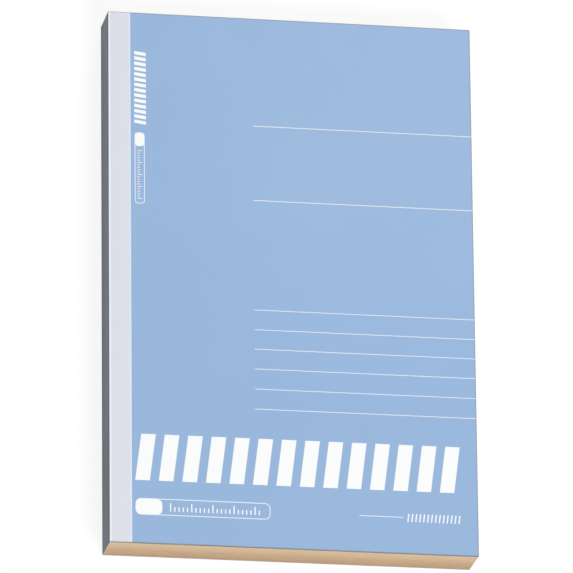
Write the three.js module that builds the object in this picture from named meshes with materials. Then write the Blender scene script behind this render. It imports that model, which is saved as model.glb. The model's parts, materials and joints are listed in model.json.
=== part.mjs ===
import * as THREE from "three";

// Lined notebook, closed and lying on its back cover. Millimetres, +Z up.
// +X runs from the spine to the fore edge, +Y from the foot to the head.
// The origin is on the table, at the centre of the notebook's footprint.
// Sheets touch face to face, so thicknesses and widths are whole 64ths of a millimetre.

const STEP = 1 / 64;

// Overall sizes of the trimmed notebook.
const BOOK_WIDTH = 140;
const BOOK_HEIGHT = 210;

// Covers of thin coloured card, flush with the leaves on the three trimmed edges.
const CARD_THICKNESS = 25 * STEP;

// Binding tape: one strip that wraps the spine and is pressed flush into both covers.
const TAPE_THICKNESS = 10 * STEP;
const TAPE_FLAP_WIDTH = 8.5;

// Flexible glue between the tape and the spine edges of the leaves.
const GLUE_THICKNESS = 20 * STEP;

// Ruled leaves of writing paper. One solid stands for a few neighbouring sheets.
const SHEET_THICKNESS = 5.75 * STEP;
const SHEETS_PER_SOLID = 4;
const SOLIDS_PER_GROUP = 4;
const GROUP_COUNT = 12;

// Clearance between pieces that lie against each other: bound paper has none.
const BOUND_CLEARANCE = 0;

const SOLID_THICKNESS = SHEET_THICKNESS * SHEETS_PER_SOLID;
const GROUP_THICKNESS = SOLID_THICKNESS * SOLIDS_PER_GROUP;
const BLOCK_THICKNESS = GROUP_THICKNESS * GROUP_COUNT;
const BOOK_THICKNESS = BLOCK_THICKNESS + 2 * (CARD_THICKNESS + BOUND_CLEARANCE);

const SPINE_X = -BOOK_WIDTH / 2;
const FORE_EDGE_X = BOOK_WIDTH / 2;
const TAPE_INNER_X = SPINE_X + TAPE_THICKNESS;
const FLAP_EDGE_X = SPINE_X + TAPE_FLAP_WIDTH;
const GLUE_X = TAPE_INNER_X + BOUND_CLEARANCE;
const LEAF_SPINE_X = GLUE_X + GLUE_THICKNESS + BOUND_CLEARANCE;
const BLOCK_BOTTOM_Z = CARD_THICKNESS + BOUND_CLEARANCE;

const cardMaterial = new THREE.MeshStandardMaterial({ color: 0x9bb8dd, roughness: 0.6, metalness: 0 });
const tapeMaterial = new THREE.MeshStandardMaterial({ color: 0xdddfe8, roughness: 0.7, metalness: 0 });
const glueMaterial = new THREE.MeshStandardMaterial({ color: 0xe9e2cf, roughness: 0.5, metalness: 0 });
const paperMaterial = new THREE.MeshStandardMaterial({ color: 0xe6cfa6, roughness: 0.85, metalness: 0 });

// A sheet of one cross-section: outline points are [x, z], and it runs from head to foot.
function sheetAlongSpine(name, outline, material) {
  const shape = new THREE.Shape(outline.map(([x, z]) => new THREE.Vector2(x, z)));
  const geometry = new THREE.ExtrudeGeometry(shape, { depth: BOOK_HEIGHT, bevelEnabled: false, steps: 1 });
  geometry.rotateX(Math.PI / 2);
  const mesh = new THREE.Mesh(geometry, material);
  mesh.name = name;
  mesh.position.y = BOOK_HEIGHT / 2;
  return mesh;
}

// Rectangle between two corners of the cross-section.
function strip(x0, x1, z0, z1) {
  return [[x0, z0], [x1, z0], [x1, z1], [x0, z1]];
}

// The back cover's outer face is its lower one, with the tape's flap let into it.
function backCover() {
  const outline = [
    [TAPE_INNER_X, TAPE_THICKNESS],
    [FLAP_EDGE_X, TAPE_THICKNESS],
    [FLAP_EDGE_X, 0],
    [FORE_EDGE_X, 0],
    [FORE_EDGE_X, CARD_THICKNESS],
    [TAPE_INNER_X, CARD_THICKNESS],
  ];
  return sheetAlongSpine("back_cover", outline, cardMaterial);
}

// The front cover is the back cover's mirror image, with its outer face on top.
function frontCover() {
  const top = BOOK_THICKNESS;
  const outline = [
    [TAPE_INNER_X, top - CARD_THICKNESS],
    [FORE_EDGE_X, top - CARD_THICKNESS],
    [FORE_EDGE_X, top],
    [FLAP_EDGE_X, top],
    [FLAP_EDGE_X, top - TAPE_THICKNESS],
    [TAPE_INNER_X, top - TAPE_THICKNESS],
  ];
  return sheetAlongSpine("front_cover", outline, cardMaterial);
}

// The strip of tape is three solids, cut at the two edges of the spine where it folds.
function bindingTape() {
  const tape = new THREE.Group();
  const top = BOOK_THICKNESS;
  tape.add(
    sheetAlongSpine("tape_back_flap", strip(SPINE_X, FLAP_EDGE_X, 0, TAPE_THICKNESS), tapeMaterial),
    sheetAlongSpine(
      "tape_spine",
      strip(SPINE_X, TAPE_INNER_X, TAPE_THICKNESS, top - TAPE_THICKNESS),
      tapeMaterial,
    ),
    sheetAlongSpine("tape_front_flap", strip(SPINE_X, FLAP_EDGE_X, top - TAPE_THICKNESS, top), tapeMaterial),
  );
  return tape;
}

function spineGlue() {
  const outline = strip(GLUE_X, GLUE_X + GLUE_THICKNESS, BLOCK_BOTTOM_Z, BLOCK_BOTTOM_Z + BLOCK_THICKNESS);
  return sheetAlongSpine("spine_glue", outline, glueMaterial);
}

// Leaves are numbered from the back cover up, in groups that hinge one on the next.
function leafBlock() {
  const block = new THREE.Group();
  block.position.z = BLOCK_BOTTOM_Z;
  const leafWidth = FORE_EDGE_X - LEAF_SPINE_X;
  for (let group = 0; group < GROUP_COUNT; group += 1) {
    for (let layer = 0; layer < SOLIDS_PER_GROUP; layer += 1) {
      const geometry = new THREE.BoxGeometry(leafWidth, BOOK_HEIGHT, SOLID_THICKNESS);
      const leaf = new THREE.Mesh(geometry, paperMaterial);
      const groupLabel = String(group + 1).padStart(2, "0");
      leaf.name = `leaves_${groupLabel}_${"abcd"[layer]}`;
      leaf.position.x = LEAF_SPINE_X + leafWidth / 2;
      leaf.position.z = group * GROUP_THICKNESS + (layer + 0.5) * SOLID_THICKNESS;
      block.add(leaf);
    }
  }
  return block;
}

const notebook = new THREE.Group();
notebook.add(backCover(), leafBlock(), spineGlue(), bindingTape(), frontCover());

export default notebook;
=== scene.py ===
import json
import math
import random

import bmesh
import bpy
from mathutils import Matrix, Vector

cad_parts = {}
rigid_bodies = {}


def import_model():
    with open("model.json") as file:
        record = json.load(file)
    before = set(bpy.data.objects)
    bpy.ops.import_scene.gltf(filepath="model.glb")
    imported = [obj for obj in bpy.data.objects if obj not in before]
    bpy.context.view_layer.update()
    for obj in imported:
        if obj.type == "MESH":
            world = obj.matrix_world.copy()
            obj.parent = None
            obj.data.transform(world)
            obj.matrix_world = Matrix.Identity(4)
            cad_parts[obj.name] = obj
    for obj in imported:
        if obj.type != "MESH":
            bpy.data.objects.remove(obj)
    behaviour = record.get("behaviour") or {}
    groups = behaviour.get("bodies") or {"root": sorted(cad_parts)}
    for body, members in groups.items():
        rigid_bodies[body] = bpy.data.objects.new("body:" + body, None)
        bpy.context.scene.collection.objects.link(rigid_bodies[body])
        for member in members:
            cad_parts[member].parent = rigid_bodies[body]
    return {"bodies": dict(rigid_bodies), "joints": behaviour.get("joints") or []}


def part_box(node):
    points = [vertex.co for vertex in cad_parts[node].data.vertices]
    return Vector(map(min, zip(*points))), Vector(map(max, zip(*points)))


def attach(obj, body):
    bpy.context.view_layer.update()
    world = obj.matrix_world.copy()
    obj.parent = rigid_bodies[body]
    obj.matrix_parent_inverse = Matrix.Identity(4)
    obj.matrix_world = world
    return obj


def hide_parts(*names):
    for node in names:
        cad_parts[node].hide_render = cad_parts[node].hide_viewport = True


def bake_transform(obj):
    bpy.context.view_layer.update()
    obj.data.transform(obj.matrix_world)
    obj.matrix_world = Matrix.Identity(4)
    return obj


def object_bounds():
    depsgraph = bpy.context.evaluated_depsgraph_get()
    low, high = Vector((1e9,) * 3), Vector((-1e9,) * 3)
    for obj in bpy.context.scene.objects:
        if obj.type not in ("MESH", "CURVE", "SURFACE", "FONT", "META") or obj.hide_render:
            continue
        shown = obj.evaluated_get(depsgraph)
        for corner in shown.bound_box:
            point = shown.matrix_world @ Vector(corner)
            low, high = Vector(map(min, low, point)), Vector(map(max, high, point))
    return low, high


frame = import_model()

CAD_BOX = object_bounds()
MM = 0.001

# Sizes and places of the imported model, in metres.
BOOK_LOW, BOOK_HIGH = CAD_BOX
SPINE_X = BOOK_LOW.x
FORE_X = BOOK_HIGH.x
FOOT_Y = BOOK_LOW.y
HEAD_Y = BOOK_HIGH.y
TOP_Z = BOOK_HIGH.z
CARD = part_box("back_cover")[1].z
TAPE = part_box("tape_back_flap")[1].z
FLAP_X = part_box("tape_back_flap")[1].x
LEAF_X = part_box("leaves_01_a")[0].x
TAPE_INNER_X = SPINE_X + TAPE
BLOCK_LOW = CARD
BLOCK_HIGH = TOP_Z - CARD

# Its bodies, from the back cover up, the leaf solids in each, and the hinge below each.
BODY_CHAIN = list(frame["bodies"])
LEAF_BODIES = BODY_CHAIN[1:-1]
LAYERS = "abcd"
SHEETS_PER_LAYER = 4
MIDDLE_JOINT = "middle_open"
HINGE_Z = {joint["child"]: joint["pos_m"][2] for joint in frame["joints"]}
MIDDLE_BODY = next(joint["child"] for joint in frame["joints"] if joint["name"] == MIDDLE_JOINT)

# The tape, which stands a little proud of the card, thins at its cut edge and is round at the fold.
TAPE_PROUD = 0.05 * MM
TAPE_TOP_Z = TOP_Z + TAPE_PROUD
TAPE_THINNED = 0.02 * MM
TAPE_THIN_WIDTH = 0.15 * MM
FOLD_RADIUS = 0.25 * MM

# The covers, and the room that they leave to the tape and the sheets.
CARD_BEVEL = 0.07 * MM
CARD_STEP = 0.03 * MM
CARD_BELOW_TAPE = 0.01 * MM
CARD_TO_TAPE = 0.02 * MM
COVER_GAP = 0.008 * MM

# Widths of the painted highlights and shade at the fold, beside and along the tape, and at the edges.
FOLD_HIGHLIGHT_WIDTH = 0.95 * MM
TAPE_SHADOW_WIDTH = 0.5 * MM
TAPE_EDGE_HIGHLIGHT_WIDTH = 0.6 * MM
EDGE_SHADE_WIDTH = 0.55 * MM
TAPE_END_SHADE_WIDTH = 0.45 * MM
COVER_SHADOW_WIDTH = 0.95 * MM

# How far down the spine the painted shade below the fold starts, is darkest, fades and ends.
FOLD_SHADE_STARTS, FOLD_SHADE_DARKEST = 3.6 * MM, 1.65 * MM
FOLD_SHADE_FADES, FOLD_SHADE_ENDS = 0.5 * MM, 0.375 * MM

# Where the covers' painted shade gives way to painted light, up from the foot and across from the spine.
PAINTED_LIGHT_FROM_UP, PAINTED_LIGHT_TO_UP = 55 * MM, 145 * MM
PAINTED_LIGHT_FROM_ACROSS, PAINTED_LIGHT_TO_ACROSS = 20 * MM, 75 * MM

# How finely the meshes are divided, and the angle from which an edge stays sharp.
COVER_STEPS = 8
ROWS = 12
FOLD_STEPS = 10
CORNER_STEPS = 8
BEVEL_SEGMENTS = 2
SHARP_ANGLE = math.radians(40)

# How far the tape, the glue and the sheets reach about each hinge, the steps along a strip, the glue's
# gap to the tape, and a span far wider than a bundle.
MIDDLE_BEND = 0.55 * MM
FAN_BEND = 0.18 * MM
BEND_STEPS = 24
GLUE_TO_TAPE = 0.01 * MM
WIDE_SPAN = 1.0

# Sheets and their ruling, measured from the foot and the spine.
SHEET_GAP = 0.006 * MM
SHEET_RECESS = 0.05 * MM
SHEET_UNEVEN = 0.02 * MM
RANDOM_SEED = 7
RULE_PITCH = 8.0 * MM
RULE_THICKNESS = 0.25 * MM
HEAD_RULE_THICKNESS = 0.5 * MM
RULE_COUNT = 23
FIRST_RULE_UP = 12.0 * MM
RULE_MARGIN = 9.0 * MM

# The white ink's own thickness, and a gap too thin to see.
INK_SUNK = 0.01 * MM
INK_PROUD = 0.02 * MM
INK_LOW = TOP_Z - INK_SUNK
INK_HIGH = TOP_Z + INK_PROUD
HAIR = 0.01 * MM

# White print on the front cover: places are (across from the spine, up from the foot).
COVER_RULES_FROM = 55.4 * MM
COVER_RULES_SHORT_OF_EDGE = 0.15 * MM
WIDE_RULES_UP = [value * MM for value in (166.6, 136.8)]
CLOSE_RULES_UP = [value * MM for value in (93.2, 85.4, 77.7, 69.9, 62.0, 54.1)]
WIDE_RULE_THICKNESS = 0.24 * MM
CLOSE_RULE_THICKNESS = 0.22 * MM
BAND_FROM, BAND_TO = 9.7 * MM, 133.3 * MM
BAND_UP, BAND_HEIGHT = 24.4 * MM, 18.1 * MM
SCALE_LOW, SCALE_HIGH = (9.8 * MM, 11.0 * MM), (60.8 * MM, 17.4 * MM)
SCALE_TAB_TO = 19.9 * MM
SCALE_LINE = 0.27 * MM
DASH_FROM, DASH_TO = 94.6 * MM, 111.3 * MM
DASH_UP, DASH_THICKNESS = 14.1 * MM, 0.25 * MM
SMALL_BAND_FROM, SMALL_BAND_TO = 112.8 * MM, 133.2 * MM
SMALL_BAND_UP, SMALL_BAND_HEIGHT = 12.4 * MM, 3.2 * MM

# The same beside the spine, reading downwards: places are (down from the foot, across from the
# spine). The first is negative, because they lie above the foot.
SIDE_BAND_FROM, SIDE_BAND_TO = -194.5 * MM, -165.0 * MM
SIDE_BAND_ACROSS, SIDE_BAND_HEIGHT = 9.9 * MM, 4.5 * MM
SIDE_SCALE_LOW, SIDE_SCALE_HIGH = (-161.8 * MM, 10.0 * MM), (-133.4 * MM, 13.8 * MM)
SIDE_SCALE_TAB_TO = -156.3 * MM
SIDE_SCALE_LINE = 0.25 * MM

# A row of bars: how many, how far they lean as a share of their height, and how much of the pitch the
# bars of a heavy and of a light row fill.
BAR_COUNT = 14
BAR_SLANT = 0.13
BAR_FILLED = 0.62
THIN_BAR_FILLED = 0.32

# A scale's corners, margins and tall ticks, as shares of its height.
SCALE_RADIUS = 0.34
TICKS_AFTER_TAB = 0.45
TICKS_BEFORE_END = 0.5
TICKS_UP = 0.25
TICK_PITCH = 0.25
TICK_HEIGHT = 0.5
TICK_THICKNESS = 0.07

# A short tick's share of a tall one, and how many ticks there are to each tall one.
SHORT_TICK = 0.55
TICKS_TO_A_TALL_ONE = 5

# The camera, in metres, fitted to the notebook's corners in the photograph.
CAMERA_AT = Vector((-0.51147, -0.95034, 2.83642))
CAMERA_AIM = Vector((-0.00223, -0.00191, 0.01803))
CAMERA_UP = Vector((-0.04571, 0.94925, 0.31118))
FRAME_PIXELS = 573
FOCAL_PIXELS = 8000
SENSOR_MM = 36.0
CLIP_NEAR, CLIP_FAR = 0.05, 50

# The lights, with the direction that each comes from, and the floor.
KEY_FROM, KEY_WATTS = (0.34, -0.8, 1.0), 317
FILL_FROM, FILL_WATTS = (0.3, 1.0, 0.45), 178
LIGHT_DISTANCE = 6.0
LIGHT_SIZE = 2.4
AMBIENT = 0.12
FLOOR_HALF = 6.0
FLOOR_DROP = 0.2 * MM
FLOOR_BOUNCE = (0.2, 0.23, 0.28, 1)
FLOOR_SHADE = (0.13, 0.13, 0.13, 1)
FLOOR_GLOW = 0.9


def srgb(red, green, blue):
    """A colour written in 8-bit sRGB, as Blender's linear RGBA."""
    def linear(value):
        share = value / 255
        return share / 12.92 if share <= 0.04045 else ((share + 0.055) / 1.055) ** 2.4
    return (linear(red), linear(green), linear(blue), 1.0)


class Look:
    """One material, with short ways to add and link its nodes."""

    def __init__(self, name):
        self.material = bpy.data.materials.new(name)
        self.material.use_nodes = True
        self.tree = self.material.node_tree
        self.shader = self.tree.nodes["Principled BSDF"]

    def add(self, kind, **values):
        """A new node with these settings."""
        node = self.tree.nodes.new(kind)
        for key, value in values.items():
            setattr(node, key, value)
        return node

    def link(self, out, into):
        self.tree.links.new(out, into)

    def place(self, stretch=(1, 1, 1)):
        """Where a point lies at rest, in metres, so that a pattern stays put on a piece that bends."""
        attribute = self.add("ShaderNodeAttribute", attribute_name="rest_place")
        mapping = self.add("ShaderNodeMapping")
        mapping.inputs["Scale"].default_value = stretch
        self.link(attribute.outputs["Vector"], mapping.inputs["Vector"])
        return mapping.outputs["Vector"]

    def along(self, axis):
        """One coordinate of the place at rest, in metres."""
        split = self.add("ShaderNodeSeparateXYZ")
        self.link(self.place(), split.inputs["Vector"])
        return split.outputs[axis]

    def times(self, first, second):
        """The product of two values."""
        node = self.add("ShaderNodeMath", operation="MULTIPLY")
        self.link(first, node.inputs[0])
        self.link(second, node.inputs[1])
        return node.outputs["Value"]

    def noise(self, scale, detail=3.0, roughness=0.55, stretch=(1, 1, 1)):
        """Noise that varies about scale times a metre, times the stretch along each axis."""
        node = self.add("ShaderNodeTexNoise")
        node.inputs["Scale"].default_value = scale
        node.inputs["Detail"].default_value = detail
        node.inputs["Roughness"].default_value = roughness
        self.link(self.place(stretch), node.inputs["Vector"])
        return node.outputs["Fac"]

    def ramp(self, value, low, high, from_low=0.3, from_high=0.7):
        """A value moved from one range to another and kept inside it. Noise mostly lies in the range
        that it is moved from by default."""
        node = self.add("ShaderNodeMapRange")
        node.inputs["From Min"].default_value = from_low
        node.inputs["From Max"].default_value = from_high
        node.inputs["To Min"].default_value = low
        node.inputs["To Max"].default_value = high
        self.link(value, node.inputs["Value"])
        return node.outputs["Result"]

    def mix(self, share, first, second):
        """A share of the second colour in the first. Their sockets go by number, because the node
        repeats its sockets' names."""
        node = self.add("ShaderNodeMix", data_type="RGBA")
        for socket, colour in ((node.inputs[6], first), (node.inputs[7], second)):
            if isinstance(colour, tuple):
                socket.default_value = colour
            else:
                self.link(colour, socket)
        self.link(share, node.inputs[0])
        return node.outputs[2]

    def bump(self, height, distance, strength=1.0):
        """A fine relief, as deep as distance."""
        node = self.add("ShaderNodeBump")
        node.inputs["Distance"].default_value = distance
        node.inputs["Strength"].default_value = strength
        self.link(height, node.inputs["Height"])
        self.link(node.outputs["Normal"], self.shader.inputs["Normal"])

    def colour(self, out):
        self.link(out, self.shader.inputs["Base Color"])

    def rough(self, out):
        self.link(out, self.shader.inputs["Roughness"])


def trimmed_ends(look, width):
    """1 over most of a surface and 0 in a strip of painted shade at the head and the foot."""
    head = look.ramp(look.along("Y"), 1, 0, HEAD_Y - width, HEAD_Y - width / 3)
    foot = look.ramp(look.along("Y"), 0, 1, FOOT_Y + width / 3, FOOT_Y + width)
    return look.times(head, foot)


def trimmed_edge(look, width):
    """The same for a surface that is trimmed at the fore edge too."""
    fore = look.ramp(look.along("X"), 1, 0, FORE_X - width, FORE_X - width / 3)
    return look.times(fore, trimmed_ends(look, width))


def coated_card():
    """Light blue card with a smooth matt coat: painted shade that deepens towards the foot and
    the spine, faint cloudiness and a fine grain."""
    look = Look("coated_card")
    cloud = look.ramp(look.noise(28, 4), 0, 1)
    grain = look.ramp(look.noise(2600, 2), 0, 1)
    # Painted light and shade: the card is paler up from the foot and away from the spine, and shaded
    # towards them.
    upwards = look.ramp(look.along("Y"), 0, 1, FOOT_Y + PAINTED_LIGHT_FROM_UP, FOOT_Y + PAINTED_LIGHT_TO_UP)
    across = look.ramp(look.along("X"), 0.3, 1, SPINE_X + PAINTED_LIGHT_FROM_ACROSS, SPINE_X + PAINTED_LIGHT_TO_ACROSS)
    painted_light_share = look.times(upwards, across)
    clouded = look.mix(cloud, srgb(151, 182, 219), srgb(153, 184, 221))
    lit_card = look.mix(cloud, srgb(158, 188, 224), srgb(160, 190, 226))
    lit_and_shaded = look.mix(painted_light_share, clouded, lit_card)
    grained = look.mix(look.ramp(grain, 0, 0.4, 0, 1), lit_and_shaded, srgb(148, 180, 218))
    # Painted shadow of the tape's raised edge, on the card beside it.
    tape_shadow = look.ramp(look.along("X"), 0.55, 0, FLAP_X, FLAP_X + TAPE_SHADOW_WIDTH)
    shade_banded = look.mix(tape_shadow, grained, srgb(143, 168, 200))
    # Painted shade: the card greys along its trimmed edges.
    edge_shaded = look.ramp(trimmed_edge(look, EDGE_SHADE_WIDTH), 0.88, 0, 0, 1)
    look.colour(look.mix(edge_shaded, shade_banded, srgb(142, 152, 167)))
    look.rough(look.ramp(look.noise(900, 2), 0.52, 0.64))
    look.bump(look.noise(3200, 2), 0.012 * MM, 0.45)
    look.shader.inputs["Specular IOR Level"].default_value = 0.35
    return look.material


def bare_card():
    """The card's unprinted side, white board with short fibres."""
    look = Look("bare_card")
    fibre = look.ramp(look.noise(1500, 4, 0.7, (1, 0.35, 1)), 0, 1)
    look.colour(look.mix(fibre, srgb(238, 237, 232), srgb(229, 228, 222)))
    look.rough(look.ramp(look.noise(700, 2), 0.78, 0.9))
    look.bump(look.noise(1900, 3), 0.02 * MM, 0.7)
    return look.material


def card_edge():
    """The cut edge of the card: grey board in thin layers, with a trace of the print, darkened with painted
    shade.
    """
    look = Look("card_edge")
    layers = look.ramp(look.noise(60, 2, 0.5, (1, 1, 160)), 0, 1)
    look.colour(look.mix(layers, srgb(72, 79, 90), srgb(92, 100, 112)))
    look.rough(look.ramp(look.noise(900, 2), 0.8, 0.92))
    look.bump(look.noise(5000, 2), 0.02 * MM, 0.6)
    return look.material


def binding_tape():
    """Pale lilac-grey paper tape with a dull surface and a fine lengthwise fibre."""
    look = Look("binding_tape")
    fibre = look.ramp(look.noise(1800, 3, 0.6, (1, 0.25, 1)), 0, 1)
    cloud = look.ramp(look.noise(60, 3), 0, 1)
    base = look.mix(cloud, srgb(224, 227, 236), srgb(222, 225, 234))
    plain = look.mix(look.ramp(fibre, 0, 0.4, 0, 1), base, srgb(216, 220, 230))
    # Painted highlight along the rounded fold.
    high = look.ramp(look.along("Z"), 0, 1, TOP_Z - FOLD_RADIUS, TOP_Z - FOLD_RADIUS / 2)
    near = look.ramp(look.along("X"), 1, 0, SPINE_X + FOLD_HIGHLIGHT_WIDTH / 2, SPINE_X + FOLD_HIGHLIGHT_WIDTH)
    fold_highlight = look.times(high, near)
    # Painted shade on the spine just below the fold.
    fold_shade = look.times(
        look.ramp(look.along("Z"), 0, 1, TOP_Z - FOLD_SHADE_STARTS, TOP_Z - FOLD_SHADE_DARKEST),
        look.ramp(look.along("Z"), 1, 0, TOP_Z - FOLD_SHADE_FADES, TOP_Z - FOLD_SHADE_ENDS),
    )
    shade_banded = look.mix(fold_shade, plain, srgb(180, 184, 194))
    fold_highlighted = look.mix(fold_highlight, shade_banded, srgb(248, 250, 255))
    # Painted highlight along the flap's cut edge.
    knife_marks_and_edge_highlight = look.ramp(look.along("X"), 0, 0.8, FLAP_X - TAPE_EDGE_HIGHLIGHT_WIDTH, FLAP_X - TAPE_EDGE_HIGHLIGHT_WIDTH / 2)
    # Painted shade: the tape greys at its head and its foot.
    edge_shaded = look.ramp(trimmed_ends(look, TAPE_END_SHADE_WIDTH), 0.55, 0, 0, 1)
    look.colour(look.mix(edge_shaded, look.mix(knife_marks_and_edge_highlight, fold_highlighted, srgb(224, 237, 254)), srgb(148, 152, 160)))
    look.rough(look.ramp(look.noise(1200, 2), 0.6, 0.74))
    look.bump(look.noise(2400, 3, 0.6, (1, 0.4, 1)), 0.02 * MM, 0.6)
    look.shader.inputs["Specular IOR Level"].default_value = 0.3
    return look.material


def tape_edge():
    """The tape's cut ends at the head and the foot, dark grey as painted shade."""
    look = Look("tape_edge")
    dust = look.ramp(look.noise(1500, 3), 0, 1)
    look.colour(look.mix(dust, srgb(128, 133, 143), srgb(150, 155, 165)))
    look.rough(look.ramp(dust, 0.75, 0.88, 0, 1))
    look.bump(look.noise(4000, 2), 0.01 * MM, 0.6)
    return look.material


def binding_glue():
    """Flexible glue, cream and slightly glossy, with the marks of the roughened sheet edges."""
    look = Look("binding_glue")
    ridges = look.ramp(look.noise(90, 3, 0.6, (1, 1, 60)), 0, 1)
    look.colour(look.mix(ridges, srgb(206, 190, 160), srgb(222, 208, 180)))
    look.rough(look.ramp(ridges, 0.34, 0.5, 0, 1))
    look.bump(ridges, 0.04 * MM, 0.6)
    return look.material


def writing_paper():
    """Uncoated cream paper with soft cloudiness and fine fibres."""
    look = Look("writing_paper")
    cloud = look.ramp(look.noise(140, 4), 0, 1)
    fibre = look.ramp(look.noise(1700, 3, 0.7), 0, 1)
    clouded = look.mix(cloud, srgb(249, 241, 219), srgb(246, 237, 213))
    look.colour(look.mix(look.ramp(fibre, 0, 0.45, 0, 1), clouded, srgb(241, 230, 204)))
    look.rough(look.ramp(fibre, 0.82, 0.93, 0, 1))
    look.bump(look.noise(2600, 3), 0.015 * MM, 0.6)
    look.shader.inputs["Specular IOR Level"].default_value = 0.25
    return look.material


def paper_edge():
    """The trimmed edge of the sheets: tan, streaked sheet by sheet, with painted shade that deepens
    towards the back cover, and a painted shadow under the front cover over the first sheets."""
    look = Look("paper_edge")
    streak = look.ramp(look.noise(10, 3, 0.6, (1, 1, 1080)), 0, 1)
    knife = look.ramp(look.noise(240, 2, 0.5, (1, 1, 0.05)), 0, 1)
    strata = look.ramp(look.noise(2.2, 2, 0.5, (1, 1, 700)), 0, 0.14)
    # Painted light and shade: lighter tan near the front cover, deeper towards the back cover, in the
    # strata too.
    light = look.mix(streak, srgb(255, 224, 184), srgb(249, 215, 174))
    shaded_tan = look.mix(streak, srgb(203, 154, 110), srgb(193, 145, 102))
    shade_share = look.ramp(look.along("Z"), 0, 1, BLOCK_HIGH, BLOCK_LOW)
    lit_and_shaded = look.mix(shade_share, light, shaded_tan)
    base = look.mix(strata, lit_and_shaded, look.mix(shade_share, srgb(246, 211, 167), srgb(189, 141, 99)))
    knife_marks_and_edge_highlight = look.mix(look.ramp(knife, 0, 0.1, 0, 1), base, srgb(226, 187, 142))
    # Painted shadow under the front cover's edge, over the first sheets.
    cover_shadow = look.ramp(look.along("Z"), 0, 0.9, BLOCK_HIGH - COVER_SHADOW_WIDTH, BLOCK_HIGH - COVER_SHADOW_WIDTH / 3)
    look.colour(look.mix(cover_shadow, knife_marks_and_edge_highlight, srgb(84, 91, 100)))
    look.rough(look.ramp(streak, 0.82, 0.94, 0, 1))
    look.bump(look.noise(16, 3, 0.6, (1, 1, 1300)), 0.03 * MM, 0.7)
    look.shader.inputs["Specular IOR Level"].default_value = 0.2
    return look.material


def ruling_ink():
    """Thin grey-blue ruling, slightly uneven as offset ink is."""
    look = Look("ruling_ink")
    uneven = look.ramp(look.noise(1500, 2), 0, 1)
    look.colour(look.mix(uneven, srgb(148, 161, 176), srgb(164, 175, 186)))
    look.rough(look.ramp(uneven, 0.75, 0.88, 0, 1))
    return look.material


def white_ink():
    """Opaque white print on the cover, a touch glossier than the card."""
    look = Look("white_ink")
    uneven = look.ramp(look.noise(1100, 3), 0, 1)
    look.colour(look.mix(uneven, srgb(255, 255, 255), srgb(251, 252, 254)))
    look.rough(look.ramp(uneven, 0.42, 0.55, 0, 1))
    look.bump(look.noise(2600, 2), 0.006 * MM, 0.5)
    return look.material


class Shape:
    """Gathers closed bodies of quads and polygons, then builds one mesh from them."""

    def __init__(self):
        self.points = []
        self.faces = []
        self.slots = []

    def face(self, corners, slot):
        """One face, by the numbers of its points, with its material's number."""
        self.faces.append(corners)
        self.slots.append(slot)

    def ladder(self, near, far, rows, near_slot, far_slot, end_slot, cut_slot):
        """A slab between two skins of (x, z) points that pair off as rungs, run along y through rows.
        near_slot and far_slot give a material number for the quad after rung i and row j, end_slot is
        the one for the first and last rung and cut_slot the one for the first and last row."""
        first = len(self.points)
        rungs = len(near)
        for y in rows:
            for (x0, z0), (x1, z1) in zip(near, far):
                self.points.append((x0, y, z0))
                self.points.append((x1, y, z1))

        def at(row, rung, side):
            return first + (row * rungs + rung) * 2 + side

        def quad(row, rung, side):
            return (
                at(row, rung, side), at(row, rung + 1, side),
                at(row + 1, rung + 1, side), at(row + 1, rung, side),
            )

        last_row = len(rows) - 1
        for j in range(last_row):
            for i in range(rungs - 1):
                self.face(quad(j, i, 0), near_slot(i, j))
                self.face(tuple(reversed(quad(j, i, 1))), far_slot(i, j))
            for i in (0, rungs - 1):
                self.face((at(j, i, 0), at(j + 1, i, 0), at(j + 1, i, 1), at(j, i, 1)), end_slot)
        for j in (0, last_row):
            for i in range(rungs - 1):
                self.face((at(j, i, 0), at(j, i, 1), at(j, i + 1, 1), at(j, i + 1, 0)), cut_slot)

    def prism(self, outline, low, high, slot=0):
        """A flat plate with an outline of (x, y) points."""
        first = len(self.points)
        count = len(outline)
        self.points += [(x, y, low) for x, y in outline]
        self.points += [(x, y, high) for x, y in outline]
        self.face(tuple(first + i for i in reversed(range(count))), slot)
        self.face(tuple(first + count + i for i in range(count)), slot)
        for i in range(count):
            j = (i + 1) % count
            self.face((first + i, first + j, first + count + j, first + count + i), slot)

    def border(self, outer, inner, low, high, slot=0):
        """A flat plate between two outlines with as many points each."""
        first = len(self.points)
        count = len(outer)
        rings = ((outer, low), (inner, low), (inner, high), (outer, high))
        for ring, height in rings:
            self.points += [(x, y, height) for x, y in ring]
        for number in range(len(rings)):
            start = first + number * count
            next_start = first + (number + 1) % len(rings) * count
            for i in range(count):
                j = (i + 1) % count
                self.face((start + i, start + j, next_start + j, next_start + i), slot)

    def build(self, name, materials, bevel=0.0):
        """The piece, on which every point keeps its place at rest for the patterns."""
        mesh = bpy.data.meshes.new(name)
        mesh.from_pydata(self.points, [], self.faces)
        for material in materials:
            mesh.materials.append(material)
        mesh.polygons.foreach_set("material_index", self.slots)
        place = mesh.attributes.new("rest_place", "FLOAT_VECTOR", "POINT")
        place.data.foreach_set("vector", [value for point in self.points for value in point])
        mesh.validate()
        piece = bpy.data.objects.new(name, mesh)
        bpy.context.scene.collection.objects.link(piece)
        turn_outward(piece)
        if bevel:
            modifier = piece.modifiers.new("bevel", "BEVEL")
            modifier.width = bevel
            modifier.segments = BEVEL_SEGMENTS
            modifier.limit_method = "ANGLE"
            modifier.angle_limit = SHARP_ANGLE
        return piece


def turn_outward(piece):
    """Turns every face's front to the outside."""
    shape = bmesh.new()
    shape.from_mesh(piece.data)
    bmesh.ops.recalc_face_normals(shape, faces=shape.faces)
    shape.to_mesh(piece.data)
    shape.free()


def spaced(start, end, count):
    """count + 1 evenly spaced values."""
    return [start + (end - start) * i / count for i in range(count + 1)]


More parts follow.
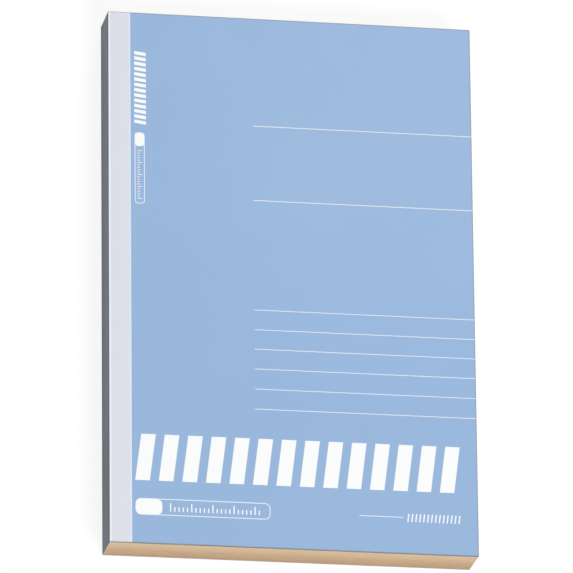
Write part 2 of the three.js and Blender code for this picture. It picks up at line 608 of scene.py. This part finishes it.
def arc(centre, radius, from_degrees, to_degrees, steps):
    """Points on an arc about (x, y)."""
    turns = [math.radians(angle) for angle in spaced(from_degrees, to_degrees, steps)]
    return [(centre[0] + radius * math.cos(turn), centre[1] + radius * math.sin(turn)) for turn in turns]


def always(slot):
    """The same material number for every quad."""
    return lambda i, j: slot


def cover(name, body, node, mirrored):
    """A card cover with the step that the tape's flap lies in. mirrored puts its outer face underneath."""
    stepped = [TAPE_INNER_X + CARD_TO_TAPE, FLAP_X - CARD_STEP]
    level = spaced(FLAP_X, FORE_X, COVER_STEPS)
    xs = stepped + level
    outer = [TOP_Z - TAPE - CARD_BELOW_TAPE] * len(stepped) + [TOP_Z] * len(level)
    inner = [BLOCK_HIGH + COVER_GAP] * len(xs)
    skins = [[(x, TOP_Z - z if mirrored else z) for x, z in zip(xs, heights)] for heights in (inner, outer)]
    shape = Shape()
    shape.ladder(*skins, spaced(FOOT_Y, HEAD_Y, ROWS), always(1), always(0), 2, 2)
    piece = shape.build(name, [CARD_OUTER, CARD_INNER, CARD_EDGE], CARD_BEVEL)
    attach(piece, body)
    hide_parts(node)


def fold_skins():
    """The tape where it folds over the front cover's edge: outer and inner (x, z) points from below."""
    centre = (SPINE_X + FOLD_RADIUS, TAPE_TOP_Z - FOLD_RADIUS)
    return [arc(centre, radius, 180, 90, FOLD_STEPS) for radius in (FOLD_RADIUS, FOLD_RADIUS - TAPE)]


def smooth(piece):
    """Shades the rounded faces smoothly and keeps the cut edges sharp."""
    for polygon in piece.data.polygons:
        polygon.use_smooth = True
    piece.data.set_sharp_from_angle(angle=SHARP_ANGLE)


def tape_flap(name, body, node, mirrored):
    """The flap of the tape on a cover. The mirrored one, under the back cover, takes its fold with it."""
    fold_outer, fold_inner = fold_skins()
    cut_edge = (FLAP_X, TAPE_TOP_Z - TAPE_THINNED)
    outer = [cut_edge, (FLAP_X - TAPE_THIN_WIDTH, TAPE_TOP_Z), fold_outer[-1]]
    inner = [(x, TAPE_TOP_Z - TAPE) for x, z in outer]
    if mirrored:
        outer = [(x, TOP_Z - z) for x, z in outer + fold_outer[-2::-1]]
        inner = [(x, TOP_Z - z) for x, z in inner + fold_inner[-2::-1]]
    shape = Shape()
    shape.ladder(inner, outer, spaced(FOOT_Y, HEAD_Y, ROWS), always(0), always(0), 0, 1)
    piece = shape.build(name, [TAPE_FACE, TAPE_EDGE])
    smooth(piece)
    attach(piece, body)
    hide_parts(node)


def body_middle_z(body):
    """Half way up the spine edge of a body's leaves."""
    nodes = [f"{body}_{layer}" for layer in LAYERS]
    return (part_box(nodes[0])[0].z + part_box(nodes[-1])[1].z) / 2


def hinge_bend(above, high):
    """The two points between which a strip bends, at the hinge below the body above. The last strip
    bends in the fold, about the middle of the tape's thickness."""
    if above not in LEAF_BODIES:
        fold_turn = FOLD_RADIUS - TAPE / 2
        return (SPINE_X, 0, high), (SPINE_X + fold_turn, 0, high + fold_turn)
    reach = MIDDLE_BEND if above == MIDDLE_BODY else FAN_BEND
    return (SPINE_X, 0, HINGE_Z[above] - reach), (SPINE_X, 0, HINGE_Z[above] + reach)


def tape_strip(number, above, low, high):
    """One strip of the tape's middle. The last one takes the fold over the front cover with it."""
    heights = spaced(low, high, BEND_STEPS)
    outer = [(SPINE_X, z) for z in heights]
    inner = [(TAPE_INNER_X, z) for z in heights]
    if above not in LEAF_BODIES:
        fold_outer, fold_inner = fold_skins()
        outer += fold_outer[1:]
        inner += fold_inner[1:]
    shape = Shape()
    shape.ladder(inner, outer, spaced(FOOT_Y, HEAD_Y, ROWS), always(0), always(0), 0, 1)
    strip = shape.build(f"tape_spine_{number:02d}", [TAPE_FACE, TAPE_EDGE])
    smooth(strip)
    start, end = hinge_bend(above, high)
    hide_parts("tape_spine")
    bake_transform(strip)
    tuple(start)
    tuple(end)


def glue_strip(number, below, above, low, high):
    """One strip of the glue behind the tape. The last one stays with the leaves."""
    heights = spaced(max(low, BLOCK_LOW), min(high, BLOCK_HIGH - COVER_GAP), BEND_STEPS)
    outer = [(TAPE_INNER_X + GLUE_TO_TAPE, z) for z in heights]
    inner = [(LEAF_X, z) for z in heights]
    shape = Shape()
    shape.ladder(outer, inner, spaced(FOOT_Y, HEAD_Y, ROWS), always(0), always(0), 0, 0)
    strip = shape.build(f"spine_glue_{number:02d}", [GLUE_FACE])
    smooth(strip)
    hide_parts("spine_glue")
    if above in LEAF_BODIES:
        start, end = hinge_bend(above, high)
        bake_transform(strip)
        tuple(start)
        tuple(end)
    else:
        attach(strip, below)


def spine_strips():
    """The tape's middle and the glue, cut half way up each group of leaves, so that each strip
    spans one hinge."""
    fold_end = FOLD_RADIUS - TAPE_PROUD
    for number, (below, above) in enumerate(zip(BODY_CHAIN, BODY_CHAIN[1:])):
        low = body_middle_z(below) if below in LEAF_BODIES else fold_end
        high = body_middle_z(above) if above in LEAF_BODIES else TOP_Z - fold_end
        tape_strip(number, above, low, high)
        glue_strip(number, below, above, low, high)


def rule_rows():
    """The y of every edge across a page, and which gaps between them are ruled."""
    edges = [FOOT_Y]
    ruled = []
    for number in range(RULE_COUNT):
        thick = HEAD_RULE_THICKNESS if number == RULE_COUNT - 1 else RULE_THICKNESS
        centre = FOOT_Y + FIRST_RULE_UP + number * RULE_PITCH
        ruled.append(len(edges))
        edges += [centre - thick / 2, centre + thick / 2]
    edges.append(HEAD_Y)
    return edges, set(ruled)


def add_sheet(shape, low, high, ruled_below, ruled_above, chance):
    """One sheet of paper, with its ruling as faces of their own on the sides that can be seen."""
    fore = FORE_X - SHEET_RECESS - chance.uniform(0, SHEET_UNEVEN)
    foot = FOOT_Y + SHEET_RECESS + chance.uniform(0, SHEET_UNEVEN)
    head = HEAD_Y - SHEET_RECESS - chance.uniform(0, SHEET_UNEVEN)
    if ruled_below or ruled_above:
        xs = [LEAF_X, LEAF_X + RULE_MARGIN, fore - RULE_MARGIN, fore]
        rows, ruled = rule_rows()
        rows = [foot] + rows[1:-1] + [head]
    else:
        xs = [LEAF_X, fore]
        rows, ruled = [foot, head], set()

    def page_slot(printed):
        return lambda i, j: 2 if printed and i == 1 and j in ruled else 0

    under = [(x, low) for x in xs]
    over = [(x, high) for x in xs]
    shape.ladder(under, over, rows, page_slot(ruled_below), page_slot(ruled_above), 1, 1)


def ease_back(share):
    return 0.5 - math.sin(math.asin(1 - 2 * share) / 3)


def bundle(name, low, high, chance):
    """The sheets between two heights, ruled on the outer sides of the first and the last."""
    pitch = (high - low + SHEET_GAP) / SHEETS_PER_LAYER
    shape = Shape()
    for sheet in range(SHEETS_PER_LAYER):
        under = low + sheet * pitch
        first = sheet == 0
        last = sheet == SHEETS_PER_LAYER - 1
        add_sheet(shape, under, under + pitch - SHEET_GAP, first, last, chance)
    return shape.build(name, [PAPER_FACE, PAPER_EDGE, RULING])


def leaf_bundles():
    """Every packed leaf solid as a bundle of sheets, with a share of the way between its own group's
    turn and the next one's worked out for it. Bundles beside the middle hinge and below the front
    cover turn with their own group alone."""
    chance = random.Random(RANDOM_SEED)
    for number, body in enumerate(LEAF_BODIES, start=1):
        below, above = BODY_CHAIN[number - 1], BODY_CHAIN[number + 1]
        for layer_number, layer in enumerate(LAYERS):
            node = f"{body}_{layer}"
            low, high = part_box(node)[0].z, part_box(node)[1].z
            piece = bundle(f"sheets_{body[-2:]}_{layer}", low, high, chance)
            fraction = (layer_number + 0.5) / len(LAYERS)
            if fraction < 0.5:
                first_body, second_body, share = below, body, 0.5 + fraction
            else:
                first_body, second_body, share = body, above, fraction - 0.5
            if second_body in (MIDDLE_BODY, BODY_CHAIN[-1]):
                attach(piece, body)
            else:
                start = (low + high) / 2 - ease_back(share) * WIDE_SPAN
                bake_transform(piece)
            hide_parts(node)


def rectangle(x0, y0, x1, y1):
    """An outline between two opposite corners."""
    return [(x0, y0), (x1, y0), (x1, y1), (x0, y1)]


def rounded_rectangle(x0, y0, x1, y1, radius):
    """The same with round corners."""
    corners = [
        ((x1 - radius, y1 - radius), 0), ((x0 + radius, y1 - radius), 90),
        ((x0 + radius, y0 + radius), 180), ((x1 - radius, y0 + radius), 270),
    ]
    points = []
    for centre, start in corners:
        points += arc(centre, radius, start, start + 90, CORNER_STEPS)
    return points


def upright(point):
    """A place on the front cover, from (across from the spine, up from the foot)."""
    return (SPINE_X + point[0], FOOT_Y + point[1])


def reading_down(point):
    """A place on the front cover, from (down from the foot, across from the spine)."""
    return (SPINE_X + point[1], FOOT_Y - point[0])


def plate(shape, place, outline):
    """A thin patch of ink on the front cover."""
    shape.prism([place(point) for point in outline], INK_LOW, INK_HIGH)


def bars(shape, place, x0, x1, y0, height, filled):
    """A row of equal bars between x0 and x1, whose tops lean over."""
    slant = height * BAR_SLANT
    pitch = (x1 - x0 - slant) / (BAR_COUNT - 1 + filled)
    width = pitch * filled
    for i in range(BAR_COUNT):
        x = x0 + i * pitch
        top = x + slant
        plate(shape, place, [(x, y0), (x + width, y0), (top + width, y0 + height), (top, y0 + height)])


def scale(shape, place, low, high, tab_to, line):
    """A rounded frame with a filled tab at its start and a row of ticks inside, like a short ruler."""
    (x0, y0), (x1, y1) = low, high
    tall = y1 - y0
    radius = tall * SCALE_RADIUS
    outer = rounded_rectangle(x0, y0, x1, y1, radius)
    inner = rounded_rectangle(x0 + line, y0 + line, x1 - line, y1 - line, radius - line)
    shape.border([place(point) for point in outer], [place(point) for point in inner], INK_LOW, INK_HIGH)
    inset = line + HAIR
    plate(shape, place, rounded_rectangle(x0 + inset, y0 + inset, tab_to, y1 - inset, radius - inset))
    first = tab_to + tall * TICKS_AFTER_TAB
    last = x1 - tall * TICKS_BEFORE_END
    pitch = tall * TICK_PITCH
    foot = y0 + tall * TICKS_UP
    for i in range(int((last - first) / pitch) + 1):
        height = tall * TICK_HEIGHT * (1 if i % TICKS_TO_A_TALL_ONE == 0 else SHORT_TICK)
        x = first + i * pitch
        plate(shape, place, rectangle(x, foot, x + tall * TICK_THICKNESS, foot + height))


def cover_print():
    """White print: thin rules, rows of slanted bars and two framed scales."""
    shape = Shape()
    rules = [(up, WIDE_RULE_THICKNESS) for up in WIDE_RULES_UP]
    rules += [(up, CLOSE_RULE_THICKNESS) for up in CLOSE_RULES_UP]
    rules_to = FORE_X - SPINE_X - COVER_RULES_SHORT_OF_EDGE
    for up, thickness in rules:
        plate(shape, upright, rectangle(COVER_RULES_FROM, up - thickness / 2, rules_to, up + thickness / 2))
    bars(shape, upright, BAND_FROM, BAND_TO, BAND_UP, BAND_HEIGHT, BAR_FILLED)
    scale(shape, upright, SCALE_LOW, SCALE_HIGH, SCALE_TAB_TO, SCALE_LINE)
    half = DASH_THICKNESS / 2
    plate(shape, upright, rectangle(DASH_FROM, DASH_UP - half, DASH_TO, DASH_UP + half))
    bars(
        shape, upright, SMALL_BAND_FROM, SMALL_BAND_TO, SMALL_BAND_UP, SMALL_BAND_HEIGHT, THIN_BAR_FILLED,
    )
    bars(
        shape, reading_down, SIDE_BAND_FROM, SIDE_BAND_TO, SIDE_BAND_ACROSS, SIDE_BAND_HEIGHT, BAR_FILLED,
    )
    scale(shape, reading_down, SIDE_SCALE_LOW, SIDE_SCALE_HIGH, SIDE_SCALE_TAB_TO, SIDE_SCALE_LINE)
    piece = shape.build("cover_print", [WHITE_INK])
    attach(piece, "front_cover")


def seen_share(tree):
    """1 for what the camera sees, straight, mirrored or through glass, and 0 for light that bounces."""
    path = tree.nodes.new("ShaderNodeLightPath")
    share = path.outputs["Is Camera Ray"]
    for ray in ("Is Glossy Ray", "Is Transmission Ray"):
        most = tree.nodes.new("ShaderNodeMath")
        most.operation = "MAXIMUM"
        tree.links.new(share, most.inputs[0])
        tree.links.new(path.outputs[ray], most.inputs[1])
        share = most.outputs[0]
    return share


def floor():
    """A wide pale floor. The camera and reflections see it nearly white, with the notebook's soft
    shadow on it."""
    half, drop = FLOOR_HALF, -FLOOR_DROP
    corners = [(-half, -half, drop), (half, -half, drop), (half, half, drop), (-half, half, drop)]
    mesh = bpy.data.meshes.new("floor")
    mesh.from_pydata(corners, [], [(0, 1, 2, 3)])
    piece = bpy.data.objects.new("floor", mesh)
    bpy.context.scene.collection.objects.link(piece)
    material = bpy.data.materials.new("floor")
    material.use_nodes = True
    tree = material.node_tree
    tree.nodes.clear()
    bouncing = tree.nodes.new("ShaderNodeBsdfDiffuse")
    bouncing.inputs["Color"].default_value = FLOOR_BOUNCE
    shaded = tree.nodes.new("ShaderNodeBsdfDiffuse")
    shaded.inputs["Color"].default_value = FLOOR_SHADE
    lifted = tree.nodes.new("ShaderNodeEmission")
    lifted.inputs["Strength"].default_value = FLOOR_GLOW
    shown = tree.nodes.new("ShaderNodeAddShader")
    tree.links.new(shaded.outputs[0], shown.inputs[0])
    tree.links.new(lifted.outputs[0], shown.inputs[1])
    choice = tree.nodes.new("ShaderNodeMixShader")
    tree.links.new(seen_share(tree), choice.inputs[0])
    tree.links.new(bouncing.outputs[0], choice.inputs[1])
    tree.links.new(shown.outputs[0], choice.inputs[2])
    output = tree.nodes.new("ShaderNodeOutputMaterial")
    tree.links.new(choice.outputs[0], output.inputs["Surface"])
    mesh.materials.append(material)


def world():
    """Even soft light, with white behind the floor for the camera."""
    made = bpy.data.worlds.new("studio")
    bpy.context.scene.world = made
    made.use_nodes = True
    tree = made.node_tree
    tree.nodes.clear()
    strength = tree.nodes.new("ShaderNodeMapRange")
    strength.inputs["To Min"].default_value = AMBIENT
    strength.inputs["To Max"].default_value = 1.0
    tree.links.new(seen_share(tree), strength.inputs["Value"])
    background = tree.nodes.new("ShaderNodeBackground")
    background.inputs["Color"].default_value = (1, 1, 1, 1)
    tree.links.new(strength.outputs["Result"], background.inputs["Strength"])
    output = tree.nodes.new("ShaderNodeOutputWorld")
    tree.links.new(background.outputs[0], output.inputs["Surface"])


def area_light(name, direction, power):
    """A round soft light that faces the notebook."""
    data = bpy.data.lights.new(name, "AREA")
    data.shape = "DISK"
    data.size = LIGHT_SIZE
    data.energy = power
    light = bpy.data.objects.new(name, data)
    place = Vector(direction).normalized() * LIGHT_DISTANCE
    light.location = place
    light.rotation_mode = "QUATERNION"
    light.rotation_quaternion = (-place).to_track_quat("-Z", "Y")
    bpy.context.scene.collection.objects.link(light)


def camera():
    """The camera, at the viewing angle that fits the photograph best."""
    data = bpy.data.cameras.new("camera")
    data.sensor_width = SENSOR_MM
    data.lens = SENSOR_MM * FOCAL_PIXELS / FRAME_PIXELS
    data.clip_start = CLIP_NEAR
    data.clip_end = CLIP_FAR
    made = bpy.data.objects.new("camera", data)
    back = (CAMERA_AT - CAMERA_AIM).normalized()
    right = CAMERA_UP.cross(back).normalized()
    turn = Matrix((right, back.cross(right), back)).transposed().to_4x4()
    made.matrix_world = Matrix.Translation(CAMERA_AT) @ turn
    bpy.context.scene.collection.objects.link(made)
    bpy.context.scene.camera = made


# Materials
CARD_OUTER = coated_card()
CARD_INNER = bare_card()
CARD_EDGE = card_edge()
TAPE_FACE = binding_tape()
TAPE_EDGE = tape_edge()
GLUE_FACE = binding_glue()
PAPER_FACE = writing_paper()
PAPER_EDGE = paper_edge()
RULING = ruling_ink()
WHITE_INK = white_ink()

# The notebook
cover("cover_card_front", "front_cover", "front_cover", mirrored=False)
cover("cover_card_back", "back_cover", "back_cover", mirrored=True)
tape_flap("tape_flap_front", "front_cover", "tape_front_flap", mirrored=False)
tape_flap("tape_flap_back", "back_cover", "tape_back_flap", mirrored=True)
spine_strips()
leaf_bundles()
cover_print()

# The studio
floor()
world()
area_light("key", KEY_FROM, KEY_WATTS)
area_light("fill", FILL_FROM, FILL_WATTS)
camera()
bpy.context.scene.view_settings.view_transform = "Standard"
